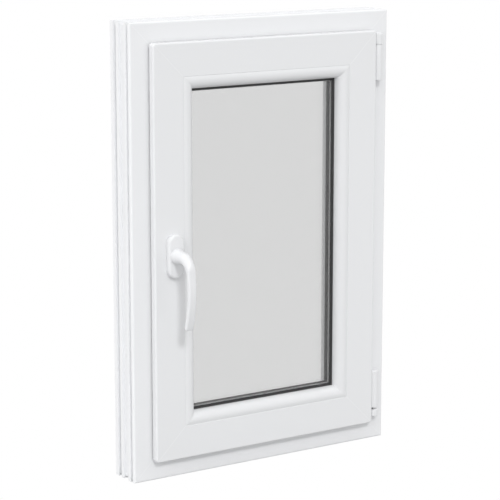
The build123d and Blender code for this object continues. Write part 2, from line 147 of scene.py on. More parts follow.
class Recipe:
    """The node tree of one material, or of the world."""

    def __init__(self, owner: bpy.types.Material | bpy.types.World) -> None:
        """Empties the owner's tree.

        Args:
            owner: The material or world, which already uses nodes.
        """
        self.owner = owner
        self.tree = owner.node_tree
        self.tree.nodes.clear()

    @classmethod
    def new(cls, name: str) -> "Recipe":
        """Starts a material.

        Args:
            name: The material's name.

        Returns:
            Its recipe.
        """
        material = bpy.data.materials.new(name)
        material.use_nodes = True
        return cls(material)

    def node(self, kind: str, settings: dict[str, Any] | None = None,
             inputs: dict[Any, Any] | None = None) -> bpy.types.Node:
        """Adds one node.

        Args:
            kind: The node's type.
            settings: The node's own settings, which are set first.
            inputs: Values, signals or sockets for the node's inputs, by name or number.

        Returns:
            The node.
        """
        made = self.tree.nodes.new(kind)
        for name, value in (settings or {}).items():
            setattr(made, name, value)
        for name, value in (inputs or {}).items():
            if isinstance(value, Signal):
                self.tree.links.new(value.socket, made.inputs[name])
            elif isinstance(value, bpy.types.NodeSocket):
                self.tree.links.new(value, made.inputs[name])
            else:
                made.inputs[name].default_value = value
        return made

    def split(self, vector: bpy.types.NodeSocket) -> tuple[Signal, Signal, Signal]:
        """The three parts of a vector."""
        made = self.node("ShaderNodeSeparateXYZ", inputs={0: vector})
        return tuple(Signal(self, socket) for socket in made.outputs)

    def place(self) -> tuple[Signal, Signal, Signal]:
        """The surface point's X, Y and Z on the object."""
        return self.split(self.node("ShaderNodeTexCoord").outputs["Object"])

    def noise(self, grain: float | Grain, detail: float = 2.0) -> Signal:
        """Noise on the object's own coordinates.

        Args:
            grain: Its grain, the same along every axis or one for each.
            detail: The number of finer layers.

        Returns:
            The noise, from 0 to 1.
        """
        scale = (grain, grain, grain) if isinstance(grain, float) else grain
        where = self.node("ShaderNodeTexCoord").outputs["Object"]
        mapped = self.node("ShaderNodeMapping", inputs={"Vector": where, "Scale": scale})
        made = self.node("ShaderNodeTexNoise", inputs={
            "Vector": mapped.outputs[0], "Scale": 1.0, "Detail": detail, "Roughness": 0.5})
        return Signal(self, made.outputs[0])

    def mix(self, share: Signal, first: Any, second: Any) -> bpy.types.NodeSocket:
        """A colour that goes from first to second as share goes from 0 to 1."""
        made = self.node("ShaderNodeMix", {"data_type": "RGBA"}, {0: share, 6: first, 7: second})
        return made.outputs[2]

    def bump(self, height: Signal, depth: float) -> bpy.types.NodeSocket:
        """A normal bent by a height, where a height of 1 stands for the depth."""
        made = self.node("ShaderNodeBump", inputs={"Strength": 1.0, "Distance": depth, "Height": height})
        return made.outputs[0]

    def seen(self) -> Signal:
        """What tells the background that is looked at from the light that falls on the window.

        Returns:
            One where the camera looks, straight, through glass or in a gleam, and nothing otherwise.
        """
        path = self.node("ShaderNodeLightPath")
        camera, through, gleam = (Signal(self, path.outputs[name]) for name in (
            "Is Camera Ray", "Is Transmission Ray", "Is Glossy Ray"))
        return (camera + through + gleam).clipped()

    def finish(self, **sockets: Any) -> bpy.types.Material:
        """Ends the tree with the surface shader.

        Args:
            sockets: The shader's inputs, with spaces in their names written as underscores.

        Returns:
            The material.
        """
        inputs = {name.replace("_", " "): value for name, value in sockets.items()}
        shader = self.node("ShaderNodeBsdfPrincipled", inputs=inputs)
        self.node("ShaderNodeOutputMaterial", inputs={"Surface": shader.outputs[0]})
        return self.owner


@dataclass(frozen=True)
class WindowSize:
    """The window's main sizes, read from the frame."""

    half_width: float
    height: float
    sash_face: float

    @staticmethod
    def read() -> "WindowSize":
        """Reads the sizes of the loaded window.

        Returns:
            The sizes.
        """
        low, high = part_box("frame_left_jamb")
        sash_low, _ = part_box("sash_top_rail")
        return WindowSize(half_width=-low[0], height=high[2], sash_face=sash_low[1])


@dataclass(frozen=True)
class WhiteProfile:
    """Extruded white plastic: glossy, a little wavy, with fine drawn lines and a cleaned seam at each mitre."""

    name: str
    run: Run
    size: WindowSize
    colour: Colour = (0.82, 0.828, 0.841, 1.0)
    seam_colour: Colour = (0.783, 0.791, 0.803, 1.0)
    seam_half: float = 0.9 * MM
    seam_shade: float = 0.3
    cloud_shade: float = 0.12
    dullness: float = 0.21
    cloud_dulls: float = 0.06
    seam_dulls: float = 0.12
    refraction: float = 1.53
    drawn_height: float = 0.008
    sway_height: float = 0.3
    seam_sinks: float = 0.22
    depth: float = 0.12 * MM
    long_grain: float = 5.0
    drawn_grain: float = 1400.0
    sway_grain: float = 30.0
    cloud_grain: float = 9.0

    def along(self, grain: float) -> Grain:
        """A grain that is drawn out along the bar."""
        return (self.long_grain, grain, grain) if self.run is Run.ACROSS else (grain, grain, self.long_grain)

    def make(self) -> bpy.types.Material:
        """Builds the material.

        Returns:
            The material.
        """
        recipe = Recipe.new(self.name)
        x, _, z = recipe.place()
        from_side = self.size.half_width - abs(x)
        from_end = self.size.height / 2 - abs(z - self.size.height / 2)
        seam = (1.0 - abs(from_side - from_end) / (self.seam_half * math.sqrt(2))).clipped()
        drawn = recipe.noise(self.along(self.drawn_grain))
        sway = recipe.noise(self.along(self.sway_grain), 1.0)
        cloud = recipe.noise(self.cloud_grain, 3.0)
        shade = (seam * self.seam_shade + cloud * self.cloud_shade).clipped()
        height = drawn * self.drawn_height + sway * self.sway_height - seam * self.seam_sinks
        return recipe.finish(
            Base_Color=recipe.mix(shade, self.colour, self.seam_colour),
            Roughness=cloud * self.cloud_dulls + seam * self.seam_dulls + self.dullness,
            IOR=self.refraction,
            Normal=recipe.bump(height, self.depth))


@dataclass(frozen=True)
class WhiteCoat:
    """Powder-coated white metal of the handle and the hinges."""

    name: str
    colour: Colour = (0.818, 0.826, 0.84, 1.0)
    worn_colour: Colour = (0.79, 0.797, 0.81, 1.0)
    dullness: float = 0.3
    cloud_dulls: float = 0.06
    refraction: float = 1.46
    lacquer: float = 0.12
    lacquer_dullness: float = 0.2
    peel_height: float = 0.7
    speck_height: float = 0.3
    depth: float = 0.012 * MM
    peel_grain: float = 700.0
    speck_grain: float = 2600.0
    cloud_grain: float = 40.0

    def make(self) -> bpy.types.Material:
        """Builds the material.

        Returns:
            The material.
        """
        recipe = Recipe.new(self.name)
        peel = recipe.noise(self.peel_grain, 1.0)
        speck = recipe.noise(self.speck_grain)
        cloud = recipe.noise(self.cloud_grain)
        height = peel * self.peel_height + speck * self.speck_height
        return recipe.finish(
            Base_Color=recipe.mix(cloud, self.colour, self.worn_colour),
            Roughness=cloud * self.cloud_dulls + self.dullness,
            IOR=self.refraction, Coat_Weight=self.lacquer, Coat_Roughness=self.lacquer_dullness,
            Normal=recipe.bump(height, self.depth))


@dataclass(frozen=True)
class ClearGlass:
    """Float glass with a faint grey coating and the lightest of smears."""

    name: str
    colour: Colour = (0.816, 0.817, 0.817, 1.0)
    smear_colour: Colour = (0.81, 0.811, 0.811, 1.0)
    refraction: float = 1.5
    smear_from: float = 0.6
    smear_dulls: float = 0.03
    smear_grain: Grain = (14.0, 14.0, 6.0)

    def make(self) -> bpy.types.Material:
        """Builds the material.

        Returns:
            The material.
        """
        recipe = Recipe.new(self.name)
        smear = recipe.noise(self.smear_grain, 3.0)
        return recipe.finish(
            Base_Color=recipe.mix(smear, self.colour, self.smear_colour),
            Roughness=(smear - self.smear_from).clipped() * self.smear_dulls,
            IOR=self.refraction, Transmission_Weight=1.0)


@dataclass(frozen=True)
class BlackRubber:
    """Black weather seal: matt, finely grained, with a trace of pale bloom."""

    name: str
    colour: Colour = (0.009, 0.009, 0.010, 1.0)
    bloom_colour: Colour = (0.022, 0.022, 0.023, 1.0)
    dullness: float = 0.45
    bloom_dulls: float = 0.15
    refraction: float = 1.5
    depth: float = 0.03 * MM
    bloom_grain: float = 60.0
    fine_grain: float = 1800.0

    def make(self) -> bpy.types.Material:
        """Builds the material.

        Returns:
            The material.
        """
        recipe = Recipe.new(self.name)
        bloom = recipe.noise(self.bloom_grain, 3.0)
        fine = recipe.noise(self.fine_grain)
        return recipe.finish(
            Base_Color=recipe.mix(bloom, self.colour, self.bloom_colour),
            Roughness=bloom * self.bloom_dulls + self.dullness,
            IOR=self.refraction,
            Normal=recipe.bump(fine, self.depth))


@dataclass(frozen=True)
class DrawnMetal:
    """Bare steel with fine lines along one way: the hinge pins and the spindle."""

    name: str
    colour: Colour
    dark_share: float = 0.6
    cloud_shade: float = 0.5
    line_shade: float = 0.3
    dullness: float = 0.3
    cloud_dulls: float = 0.15
    line_height: float = 0.4
    depth: float = 0.03 * MM
    line_grain: Grain = (900.0, 2400.0, 900.0)
    cloud_grain: float = 45.0

    def make(self) -> bpy.types.Material:
        """Builds the material.

        Returns:
            The material.
        """
        recipe = Recipe.new(self.name)
        lines = recipe.noise(self.line_grain)
        cloud = recipe.noise(self.cloud_grain)
        dark = tuple(self.dark_share * part for part in self.colour[:3]) + (1.0,)
        shade = (cloud * self.cloud_shade + lines * self.line_shade).clipped()
        return recipe.finish(
            Base_Color=recipe.mix(shade, self.colour, dark),
            Metallic=1.0, Roughness=cloud * self.cloud_dulls + self.dullness,
            Normal=recipe.bump(lines * self.line_height, self.depth))


@dataclass(frozen=True)
class SpacerSkin:
    """The spacer bar: black plastic with two rows of drying holes, and pale foil where it meets the panes. The
    pale, nearly matt strip is partly painted highlight and is wider on the room side, where it stands in for the
    gleam of a metal spacer's face.
    """

    name: str
    room_face: float
    outside_face: float
    plastic: Colour = (0.007, 0.007, 0.008, 1.0)
    dusty: Colour = (0.016, 0.016, 0.017, 1.0)
    # Pale, nearly matt colour of the strip: partly real foil, partly painted highlight in place of a metal gleam.
    foil_and_painted_gleam: Colour = (0.86, 0.86, 0.87, 1.0)
    dull_foil: Colour = (0.78, 0.78, 0.79, 1.0)
    room_foil_and_painted_gleam: float = 1.6 * MM
    outside_foil: float = 0.35 * MM
    blend: float = 0.25 * MM
    hole_pitch: float = 3.0 * MM
    hole_half: float = 0.2
    hole_edge: float = 8.0
    row_place: float = 0.35
    row_half: float = 0.5 * MM
    metal: float = 0.05
    dullness: float = 0.42
    dust_dulls: float = 0.15
    foil_gleams: float = 0.1
    line_height: float = 0.2
    depth: float = 0.12 * MM
    dust_grain: float = 240.0
    line_grain: Grain = (900.0, 2400.0, 900.0)

    def holes(self, recipe: Recipe) -> Signal:
        """The drying holes: two rows along the bar, as far from its middle on either side.

        Args:
            recipe: The material's recipe.

        Returns:
            One in a hole and nothing outside it.
        """
        x, y, z = recipe.place()
        middle = (self.room_face + self.outside_face) / 2
        row = (self.outside_face - self.room_face) / 2 * self.row_place
        along = ((self.hole_half - abs(((x + z) / self.hole_pitch).fraction() - 0.5)) * self.hole_edge).clipped()
        across = ((self.row_half - abs(abs(y - middle) - row)) / self.blend).clipped()
        return along * across

    def make(self) -> bpy.types.Material:
        """Builds the material.

        Returns:
            The material.
        """
        recipe = Recipe.new(self.name)
        _, y, _ = recipe.place()
        # Where the pale strip lies: a thin real foil on the outside, widened on the room side into a painted
        # highlight.
        foil_and_painted_gleam = (((self.room_face + self.room_foil_and_painted_gleam - y) / self.blend).clipped()
                + ((y - self.outside_face + self.outside_foil) / self.blend).clipped())
        dust = recipe.noise(self.dust_grain, 3.0)
        lines = recipe.noise(self.line_grain)
        plastic = recipe.mix(dust, self.plastic, self.dusty)
        metal = recipe.mix(lines, self.foil_and_painted_gleam, self.dull_foil)
        return recipe.finish(
            Base_Color=recipe.mix(foil_and_painted_gleam, plastic, metal),
            Metallic=foil_and_painted_gleam * self.metal,
            Roughness=dust * self.dust_dulls - foil_and_painted_gleam * self.foil_gleams + self.dullness,
            Normal=recipe.bump(lines * self.line_height - self.holes(recipe), self.depth))


class Bench:
    """Modelling by hand: the calls that start, shape and finish one piece."""

    @staticmethod
    def clear() -> None:
        """Leaves edit mode and deselects everything."""
        if bpy.context.object and bpy.context.object.mode != "OBJECT":
            bpy.ops.object.mode_set(mode="OBJECT")
        bpy.ops.object.select_all(action="DESELECT")

    @staticmethod
    def hold(piece: bpy.types.Object) -> None:
        """Selects one piece alone.

        Args:
            piece: The piece.
        """
        Bench.clear()
        piece.select_set(True)
        bpy.context.view_layer.objects.active = piece

    @staticmethod
    def start(name: str) -> bpy.types.Object:
        """Names the primitive or copy that was just added and lays its place into its mesh.

        Args:
            name: The piece's name.

        Returns:
            The piece.
        """
        piece = bpy.context.object
        piece.name = name
        piece.data.name = name
        bpy.ops.object.transform_apply(location=True, rotation=True, scale=True)
        return piece

    @staticmethod
    def block(name: str, low: Vector, high: Vector) -> bpy.types.Object:
        """Starts a piece as a block between two corners.

        Args:
            name: The piece's name.
            low: The lowest corner.
            high: The highest corner.

        Returns:
            The piece.
        """
        Bench.clear()
        bpy.ops.mesh.primitive_cube_add(size=1.0, location=(low + high) / 2)
        bpy.context.object.scale = high - low
        return Bench.start(name)

    @staticmethod
    def copy(piece: bpy.types.Object, name: str, shift: Vector) -> bpy.types.Object:
        """Copies a piece, with a mesh of its own, and moves the copy.

        Args:
            piece: The piece to copy.
            name: The copy's name.
            shift: The way from the piece to its copy.

        Returns:
            The copy.
        """
        Bench.hold(piece)
        bpy.ops.object.duplicate_move(OBJECT_OT_duplicate={"linked": False},
                                      TRANSFORM_OT_translate={"value": shift})
        return Bench.start(name)

    @staticmethod
    def pick(piece: bpy.types.Object, element: Element, wanted: Callable[[Any], bool]) -> None:
        """Enters edit mode with the wanted points, edges or faces selected.

        Args:
            piece: The piece.
            element: What is selected.
            wanted: Says of each one whether it is selected.
        """
        bpy.ops.object.mode_set(mode="EDIT")
        bpy.ops.mesh.select_mode(type=element.value)
        bpy.ops.mesh.select_all(action="DESELECT")
        mesh = bmesh.from_edit_mesh(piece.data)
        for one in {Element.POINT: mesh.verts, Element.EDGE: mesh.edges, Element.FACE: mesh.faces}[element]:
            one.select_set(wanted(one))
        bmesh.update_edit_mesh(piece.data)

    @staticmethod
    def pick_facing(piece: bpy.types.Object, way: Vector) -> None:
        """Enters edit mode with the faces selected that face one way."""
        Bench.pick(piece, Element.FACE, lambda face: face.normal.dot(way) > FACING)

    @staticmethod
    def round_rim(piece: bpy.types.Object, way: Vector, width: float, segments: int) -> None:
        """Rounds the rim of the faces that face one way."""
        Bench.pick_facing(piece, way)
        bpy.ops.mesh.bevel(offset=width, segments=segments, affect="EDGES")

    @staticmethod
    def draw(way: Vector) -> None:
        """Extrudes what is selected by a way."""
        bpy.ops.mesh.extrude_region_move(TRANSFORM_OT_translate={"value": way})

    @staticmethod
    def cut(piece: bpy.types.Object, place: Vector, way: Vector) -> None:
        """Cuts off what lies beyond a place, the way that is given, and closes the cut."""
        Bench.pick(piece, Element.FACE, lambda face: True)
        bpy.ops.mesh.bisect(plane_co=place, plane_no=way, clear_outer=True, use_fill=True)

    @staticmethod
    def reach(piece: bpy.types.Object, way: Vector) -> float:
        """How far the selected points of the piece reach along one way, from end to end.

        Args:
            piece: The piece, in edit mode.
            way: A direction of length 1.

        Returns:
            The distance.
        """
        mesh = bmesh.from_edit_mesh(piece.data)
        places = [point.co.dot(way) for point in mesh.verts if point.select]
        return max(places) - min(places)

    @staticmethod
    def outwards() -> None:
        """Turns every face of the piece in edit mode outwards."""
        bpy.ops.mesh.select_all(action="SELECT")
        bpy.ops.mesh.normals_make_consistent(inside=False)

    @staticmethod
    def modify(piece: bpy.types.Object, kind: str, **settings: Any) -> None:
        """Adds a modifier to the piece and applies it.

        Args:
            piece: The piece.
            kind: The modifier's type.
            settings: Its settings.
        """
        Bench.hold(piece)
        modifier = piece.modifiers.new(kind.lower(), kind)
        for name, value in settings.items():
            setattr(modifier, name, value)
        bpy.ops.object.modifier_apply(modifier=modifier.name)

    @staticmethod
    def smooth(piece: bpy.types.Object, levels: int) -> None:
        """Subdivides the piece smoothly."""
        Bench.modify(piece, "SUBSURF", levels=levels, render_levels=levels)

    @staticmethod
    def bevel(piece: bpy.types.Object, width: float, segments: int) -> None:
        """Rounds the piece's sharp edges."""
        Bench.modify(piece, "BEVEL", width=width, segments=segments, limit_method="ANGLE", angle_limit=SHARP_EDGE)

    @staticmethod
    def done(piece: bpy.types.Object, finish: bpy.types.Material, body: str, slot: str) -> None:
        """Smooths a finished piece, gives it its finish and puts it on its body.

        Args:
            piece: The piece.
            finish: Its material.
            body: The body that it rides on.
            slot: Not used.
        """
        Bench.hold(piece)
        bpy.ops.object.shade_smooth_by_angle(angle=SHADED_EDGE)
        piece.data.materials.clear()
        piece.data.materials.append(finish)
        piece.select_set(False)
        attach(piece, body)
        triangles = sum(len(face.vertices) - 2 for face in piece.data.polygons)
        log.info("%s: %d triangles on %s", piece.name, triangles, body)


def dress(node: str, finish: bpy.types.Material) -> None:
    """Gives one node of the frame its finish.

    Args:
        node: The node's name.
        finish: Its material.
    """
    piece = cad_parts[node]
    piece.data.materials.clear()
    piece.data.materials.append(finish)
    log.info("%s: %s", node, finish.name)


def corners(node: str) -> tuple[Vector, Vector]:
    """The lowest and the highest corner of a node's box."""
    low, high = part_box(node)
    return Vector(low), Vector(high)


@dataclass
class Profiles:
    """The white bars: outer frame, sash and glazing beads. The frame's colour is the sash's plastic painted a
    shade lighter, as painted light for the brighter light on the frame.
    """

    size: WindowSize
    outer: tuple[tuple[Run, tuple[str, str]], ...] = (
        (Run.ACROSS, ("frame_sill", "frame_head")),
        (Run.UPRIGHT, ("frame_left_jamb", "frame_right_jamb")))
    sash: tuple[tuple[Run, tuple[str, str]], ...] = (
        (Run.ACROSS, ("sash_bottom_rail", "sash_top_rail")),
        (Run.UPRIGHT, ("sash_left_stile", "sash_right_stile")))
    beads: tuple[tuple[Run, tuple[str, str]], ...] = (
        (Run.ACROSS, ("glazing_bead_bottom", "glazing_bead_top")),
        (Run.UPRIGHT, ("glazing_bead_left", "glazing_bead_right")))
    # Painted light: the same plastic as the sash, made a shade lighter for the brighter light that falls on the
    # frame.
    outer_colour_painted_lighter: Colour = (0.868, 0.876, 0.89, 1.0)
    bead_gap: float = 0.15 * MM
    bead_gap_colour: Colour = (0.5, 0.5, 0.5, 1.0)

    def build(self) -> None:
        """Dresses every bar along its own run, two opposite bars with one finish."""
        gap = {"seam_half": self.bead_gap, "seam_colour": self.bead_gap_colour}
        for word, bars, looks in (("frame", self.outer, {"colour": self.outer_colour_painted_lighter}),
                                  ("sash", self.sash, {}), ("bead", self.beads, gap)):
            for run, names in bars:
                finish = WhiteProfile(f"white_{word}_{run.value}", run, self.size, **looks).make()
                for name in names:
                    dress(name, finish)


@dataclass
class GlazingUnit:
    """The two panes and the spacer bar between them."""

    bar_tall: float = 8.0 * MM
    seal_line: float = 0.15 * MM
    edge_round: float = 0.35 * MM

    def build(self) -> None:
        """Dresses the panes and models the bar."""
        glass = ClearGlass("clear_glass").make()
        dress("glass_inner_pane", glass)
        dress("glass_outer_pane", glass)
        self.spacer(*corners("glass_spacer_bar"))

    def spacer(self, low: Vector, high: Vector) -> None:
        """The spacer bar: a hoop that a thin line of seal holds off both panes.

        Args:
            low: The lowest corner of the space between the panes' edges.
            high: Its highest corner.
        """
        Bench.clear()
        front, back = low.y + self.seal_line, high.y - self.seal_line
        middle = ((low.x + high.x) / 2, front, (low.z + high.z) / 2)
        bpy.ops.mesh.primitive_plane_add(size=1.0, location=middle, rotation=(math.pi / 2, 0.0, 0.0))
        bpy.context.object.scale = (high.x - low.x, high.z - low.z, 1.0)
        piece = Bench.start("spacer_bar")
        Bench.pick(piece, Element.FACE, lambda face: True)
        bpy.ops.mesh.inset(thickness=self.bar_tall, depth=0.0)
        bpy.ops.mesh.delete(type="FACE")
        bpy.ops.mesh.select_all(action="SELECT")
        Bench.draw(OUTSIDE * (back - front))
        Bench.outwards()
        Bench.bevel(piece, self.edge_round, 2)
        finish = SpacerSkin("spacer_skin", room_face=front, outside_face=back).make()
        Bench.done(piece, finish, "window", "spacer_aluminium")
        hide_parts("glass_spacer_bar")


@dataclass
class Gaskets:
    """The black weather seals."""

    nodes: tuple[str, ...] = ("bead_gasket", "outer_glazing_gasket", "sash_stop_gasket", "frame_lip_gasket")

    def build(self) -> None:
        """Dresses the seals."""
        rubber = BlackRubber("black_rubber").make()
        for name in self.nodes:
            dress(name, rubber)


@dataclass
class Hinges:
    """The two hinges, with the sides of their covers and a cap in each open end.

    The upper hinge comes first in each pair. A flank is the side of a cover on the sash, and a cheek the side
    of one on the frame.
    """

    on_sash: tuple[str, str] = ("upper_hinge_eye", "lower_hinge_band")
    on_frame: tuple[str, str] = ("upper_hinge_bearing", "lower_hinge_bearing")
    pins: tuple[str, str] = ("upper_hinge_pin", "lower_hinge_pin")
    steel: Colour = (0.62, 0.62, 0.63, 1.0)
    cap_radius: float = 5.2 * MM
    cap_thick: float = 1.4 * MM
    cap_proud: float = 0.2 * MM
    cap_round: float = 0.25 * MM
    cap_sides: int = 36
    recess_radius: float = 2.3 * MM
    recess_deep: float = 1.0 * MM
    cover_ends: float = 1.3 * MM
    flank_deep: float = 9.0 * MM
    flank_low: float = 1.3 * MM
    flank_gap: float = 0.1 * MM
    flank_round: float = 0.8 * MM
    cheek_radius: float = 8.0 * MM
    cheek_leaves: float = 75.0
    cheek_back: float = 4.5 * MM
    cheek_round: float = 0.4 * MM
    cheek_sides: int = 120

    def build(self, coat: bpy.types.Material) -> None:
        """Dresses the hinges and models their covers' sides and caps.

        Args:
            coat: The white coat.
        """
        for name in self.on_frame + self.on_sash:
            dress(name, coat)
        steel = DrawnMetal("hinge_steel", self.steel).make()
        for name in self.pins:
            dress(name, steel)
        low, high = corners(self.pins[0])
        axis = (low + high) / 2
        self.caps("cap", self.on_sash, axis, 1.0, coat)
        for node in self.on_sash:
            self.flank(node, axis, coat)
        self.caps("plug", self.on_frame, axis, -1.0, coat)
        for node in self.on_frame:
            self.cheek(node, axis, coat)

    def caps(self, word: str, nodes: tuple[str, str], axis: Vector, up: float, coat: bpy.types.Material) -> None:
        """Models one cap and copies it to the other hinge.

        Args:
            word: What the cap is called.
            nodes: The two knuckles whose ends it closes.
            axis: A point on the hinges' axis.
            up: 1 where the ends face up, and -1 where they face down.
            coat: Their finish.
        """
        upper, lower = (Vector((axis.x, axis.y, corners(node)[int(up > 0.0)].z)) for node in nodes)
        cap = self.cap("upper_hinge_" + word, upper, up)
        twin = Bench.copy(cap, "lower_hinge_" + word, lower - upper)
        for piece in (cap, twin):
            Bench.done(piece, coat, "window", "white_gear")

    def cap(self, name: str, end: Vector, up: float) -> bpy.types.Object:
        """One press-in cap with a round recess, which stands a little proud of the knuckle's end.

        Args:
            name: The piece's name.
            end: The middle of the knuckle's end.
            up: 1 where the end faces up, and -1 where it faces down.

        Returns:
            The cap.
        """
        Bench.clear()
        bpy.ops.mesh.primitive_cylinder_add(
            vertices=self.cap_sides, radius=self.cap_radius, depth=self.cap_thick,
            location=end + UP * up * (self.cap_proud - self.cap_thick / 2))
        piece = Bench.start(name)
        Bench.pick_facing(piece, UP * up)
        bpy.ops.mesh.inset(thickness=self.cap_radius - self.recess_radius, depth=0.0)
        Bench.draw(UP * -up * self.recess_deep)
        Bench.bevel(piece, self.cap_round, 2)
        return piece

    def flank(self, node: str, axis: Vector, coat: bpy.types.Material) -> None:
        """The side of a cover that turns with the sash, so it may fill the furrow beside the sash's edge.

        Args:
            node: The knuckle that it covers.
            axis: A point on the hinge's axis.
            coat: Its finish.
        """
        low, high = corners(node)
        near = low + Vector((self.flank_gap, self.flank_low, self.cover_ends))
        far = Vector((axis.x, near.y + self.flank_deep, high.z - self.cover_ends))
        piece = Bench.block(node + "_flank", near, far)
        Bench.round_rim(piece, -OUTSIDE, self.flank_round, 4)
        Bench.done(piece, coat, "window", "white_gear")

    def cheek(self, node: str, axis: Vector, coat: bpy.types.Material) -> None:
        """The side of a cover that stays with the frame: round about the axis, so the sash's edge turns past.

        Args:
            node: The knuckle that it covers.
            axis: A point on the hinge's axis.
            coat: Its finish.
        """
        Bench.clear()
        low, high = corners(node)
        turn = math.radians(self.cheek_leaves)
        leave = Vector((-math.cos(turn), -math.sin(turn), 0.0))
        middle = Vector((axis.x, axis.y, (low.z + high.z) / 2))
        bpy.ops.mesh.primitive_cylinder_add(
            vertices=self.cheek_sides, radius=self.cheek_radius, location=middle,
            depth=high.z - low.z - 2 * self.cover_ends)
        piece = Bench.start(node + "_cheek")
        Bench.cut(piece, middle + leave * (axis.y - low.y), leave)
        Bench.cut(piece, middle, RIGHT)
        Bench.cut(piece, middle + OUTSIDE * self.cheek_back, OUTSIDE)
        Bench.outwards()
        Bench.bevel(piece, self.cheek_round, 3)
        Bench.done(piece, coat, "window", "white_gear")


@dataclass
class Lever:
    """The lever: a round neck that flares to the plate, a bend, and a flat bowed grip.

    Reaches are heights above the sash's face. A turn is the angle, in degrees, from the neck's line, which
    stands straight out, towards the grip's, which hangs down. The neck's rings and the tip's give how far along
    they stand, with the ring's width or with what it lacks of the grip's on each side. A cut gives a length,
    and the number of cuts in a longer edge of the tip. Other pairs are a width and a thickness.
    """

    axis: Vector
    neck_ends: float = 29.0 * MM
    neck: tuple[tuple[float, float], ...] = (
        (6.0 * MM, 21.1 * MM), (11.5 * MM, 23.0 * MM), (15.5 * MM, 24.5 * MM), (17.5 * MM, 25.0 * MM))
    waist: tuple[float, float] = (19.5 * MM, 19.5 * MM)
    middle: tuple[float, float] = (17.0 * MM, 18.0 * MM)
    grip: tuple[float, float] = (14.0 * MM, 8.5 * MM)
    bend_radius: float = 24.0 * MM
    bend_turn: float = 81.0
    bend_steps: int = 9
    steps_to_round: int = 4
    tip_reach: float = 44.2 * MM
    tip_drop: float = 113.0 * MM
    tip_rounds: tuple[tuple[float, float], ...] = ((0.0, 1.8 * MM), (0.35 * MM, 0.9 * MM), (1.3 * MM, 0.2 * MM))
    grip_steps: int = 9
    edge_round: float = 2.6 * MM
    cuts: tuple[tuple[float, int], ...] = ((5.0 * MM, 3), (2.5 * MM, 1))

    def point(self, reach: float, drop: float) -> Vector:
        """The place at a height above the sash's face and a distance below the lever's axis."""
        return self.axis + Vector((0.0, -reach, -drop))

    def grip_arc(self) -> tuple[Vector, float, float]:
        """The arc of the grip, which runs on from the bend and ends at the tip.

        Returns:
            The arc's centre, its radius and its turn in degrees.
        """
        turn = math.radians(self.bend_turn)
        reach = self.neck_ends + self.bend_radius * math.sin(turn)
        drop = self.bend_radius * (1.0 - math.cos(turn))
        chord = math.hypot(reach - self.tip_reach, self.tip_drop - drop)
        lean = math.atan2(reach - self.tip_reach, self.tip_drop - drop) + math.pi / 2 - turn
        radius = chord / (2.0 * math.sin(lean))
        centre = self.point(reach - radius * math.sin(turn), drop + radius * math.cos(turn))
        return centre, radius, math.degrees(2.0 * lean)

    def bend_size(self, share: float) -> tuple[float, float]:
        """The lever's width and thickness in the bend, on a smooth curve through waist, middle and grip.

        Args:
            share: How far the place is from the neck, as a share of the bend.

        Returns:
            The width and the thickness.
        """
        weights = ((1 - 2 * share) * (1 - share), 4 * share * (1 - share), share * (2 * share - 1))
        sizes = (self.waist, self.middle, self.grip)
        return tuple(sum(weight * size[side] for weight, size in zip(weights, sizes)) for side in (0, 1))

    def ring(self, piece: bpy.types.Object, wide: float, thick: float, turn: float) -> None:
        """Sets the size of the selected ring.

        Args:
            piece: The lever, in edit mode.
            wide: The ring's width.
            thick: Its thickness.
            turn: The turn of the lever's line at the ring, in degrees.
        """
        angle = math.radians(turn)
        across = Vector((0.0, -math.sin(angle), math.cos(angle)))
        along = Vector((0.0, -math.cos(angle), -math.sin(angle)))
        now_wide = Bench.reach(piece, RIGHT)
        now_thick = Bench.reach(piece, across)
        bpy.ops.transform.resize(
            value=(wide / now_wide, thick / now_thick, 1.0), orient_type="GLOBAL",
            orient_matrix=(tuple(RIGHT), tuple(across), tuple(along)), orient_matrix_type="GLOBAL")

    def step(self, centre: Vector, turn: float) -> None:
        """Extrudes the selected ring and turns it about a centre, towards the neck, by an angle in degrees."""
        Bench.draw(Vector())
        bpy.ops.transform.rotate(value=math.radians(turn), orient_axis="X", center_override=centre)

    def start(self, turn: float) -> bpy.types.Object:
        """The flat oval at the tip.

        Args:
            turn: The turn of the lever's line at the tip, in degrees.

        Returns:
            The lever so far, in edit mode with the oval selected.
        """
        Bench.clear()
        bpy.ops.mesh.primitive_plane_add(
            size=1.0, location=self.point(self.tip_reach, self.tip_drop),
            rotation=(math.radians(90.0 + turn), 0.0, 0.0))
        bpy.context.object.scale = (self.grip[0], self.grip[1], 1.0)
        piece = Bench.start("handle_lever_smooth")
        Bench.pick(piece, Element.POINT, lambda point: True)
        bpy.ops.mesh.bevel(offset=self.edge_round, segments=4, affect="VERTICES")
        for longer_than, cuts in self.cuts:
            Bench.pick(piece, Element.EDGE, lambda edge: edge.calc_length() > longer_than)
            bpy.ops.mesh.subdivide(number_cuts=cuts)
        Bench.pick(piece, Element.FACE, lambda face: True)
        return piece

    def run_grip(self, piece: bpy.types.Object) -> None:
        """Runs the oval up from the tip to the bend, with a rounded tip.

        Args:
            piece: The lever, in edit mode with its last ring selected.
        """
        centre, radius, left = self.grip_arc()
        wide, thick = self.grip
        for along, less in self.tip_rounds:
            angle = math.degrees(along / radius)
            if along:
                self.step(centre, angle)
            left -= angle
            self.ring(piece, wide - 2 * less, thick - 2 * less, self.bend_turn + left)
        for number in range(self.grip_steps):
            angle = left / self.grip_steps
            self.step(centre, angle)
            self.ring(piece, wide, thick, self.bend_turn + left - angle * (number + 1))

